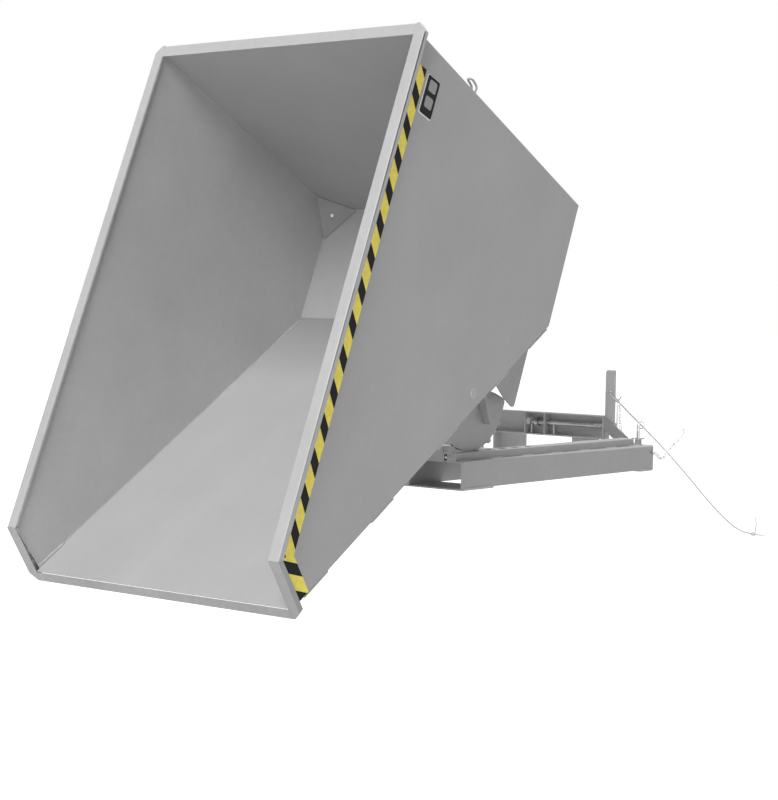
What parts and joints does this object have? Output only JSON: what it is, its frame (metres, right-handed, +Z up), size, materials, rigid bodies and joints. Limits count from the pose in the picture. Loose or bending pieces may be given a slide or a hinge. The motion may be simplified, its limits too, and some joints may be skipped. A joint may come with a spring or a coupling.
{
  "type": "self dumping hopper",
  "caption": "Steel tipping hopper with a sloped front that rolls forward on toothed rockers over a base frame for truck forks, shown tipped, with its release lever and rope.",
  "frame": {"origin": "midway between the two fork pockets, at their rear mouths, on the plane where the forks lift against the pockets' top webs", "axes": "+X towards the side with the lever and rope, +Y rearwards towards the truck, out of the pockets' mouths, +Z up; the tub dumps towards -Y"},
  "size_m": [1.3, 3.7088, 2.0351],
  "materials": {
    "tub_paint": "grey paint, satin",
    "rim_paint": "grey paint, satin, worn bright",
    "frame_paint": "grey paint, satin",
    "zinc": "zinc plated",
    "dark_steel": "bare steel, oiled",
    "tape": "yellow and black striped film",
    "plate": "dark printed film",
    "rope": "braided rope"
  },
  "bodies": {
    "base": {"fork_pocket_left": "frame_paint", "fork_pocket_right": "frame_paint", "rail_left": "frame_paint", "rail_right": "frame_paint", "rail_stop_left": "frame_paint", "rail_stop_right": "frame_paint", "front_strap": "frame_paint", "rear_strap": "frame_paint", "front_cross_bar": "frame_paint", "mid_cross_member": "frame_paint", "rear_beam": "frame_paint", "beam_gusset_left": "frame_paint", "beam_gusset_right": "frame_paint", "latch_rib_left": "frame_paint", "latch_rib_right": "frame_paint", "beam_apron_left": "frame_paint", "beam_apron_right": "frame_paint", "beam_bolt_1": "zinc", "beam_bolt_2": "zinc", "return_spring": "zinc", "pin_sleeve_left": "frame_paint", "pin_sleeve_right": "frame_paint", "chain_eye": "zinc", "keeper_chain": "zinc", "safety_chain": "zinc", "chain_hook": "zinc"},
    "release": {"release_shaft": "dark_steel", "release_lever": "frame_paint", "latch_hook": "dark_steel", "rope_knot": "rope", "pull_rope": "rope", "rope_end_knot": "rope"},
    "pin_left": {"fork_pin_left": "zinc"},
    "pin_right": {"fork_pin_right": "zinc"},
    "roll_axle": {"tie_tube": "frame_paint"},
    "tub": {"rocker_left": "frame_paint", "rocker_right": "frame_paint", "skid_plate_left": "tub_paint", "skid_plate_right": "tub_paint", "side_panel_left": "tub_paint", "side_panel_right": "tub_paint", "rear_panel": "tub_paint", "floor_panel": "tub_paint", "front_panel": "tub_paint", "corner_plate_left": "tub_paint", "corner_plate_right": "tub_paint", "corner_bolt_left": "zinc", "corner_bolt_right": "zinc", "rim_left": "rim_paint", "rim_right": "rim_paint", "rim_rear": "rim_paint", "front_rim_left": "rim_paint", "front_rim_right": "rim_paint", "lip_bar": "rim_paint", "hazard_tape_left": "tape", "hazard_tape_right": "tape", "label_plate": "plate", "rear_eye_left": "zinc", "rear_eye_right": "zinc", "striker": "dark_steel"}
  },
  "joints": [
    {"name": "tub_roll", "type": "slide", "parent": "base", "child": "roll_axle", "axis": [0, 1, 0], "range_m": [0, 0.2611]},
    {"name": "tub_tip", "type": "hinge", "parent": "roll_axle", "child": "tub", "pos_m": [0, -1.23423, 0.256], "axis": [1, 0, 0], "range_deg": [-68, 0]},
    {"name": "release_turn", "type": "hinge", "parent": "base", "child": "release", "pos_m": [0, -0.037, 0.075], "axis": [-1, 0, 0], "range_deg": [0, 12], "stiffness_Nm_per_rad": 20, "springref_deg": -28.65},
    {"name": "pin_left_lift", "type": "slide", "parent": "base", "child": "pin_left", "axis": [0, 0, 1], "range_m": [0, 0.11]},
    {"name": "pin_right_lift", "type": "slide", "parent": "base", "child": "pin_right", "axis": [0, 0, 1], "range_m": [0, 0.11]}
  ],
  "couplings": [
    {"joint": "tub_roll", "follows": "tub_tip", "m_per_rad": -0.22}
  ]
}
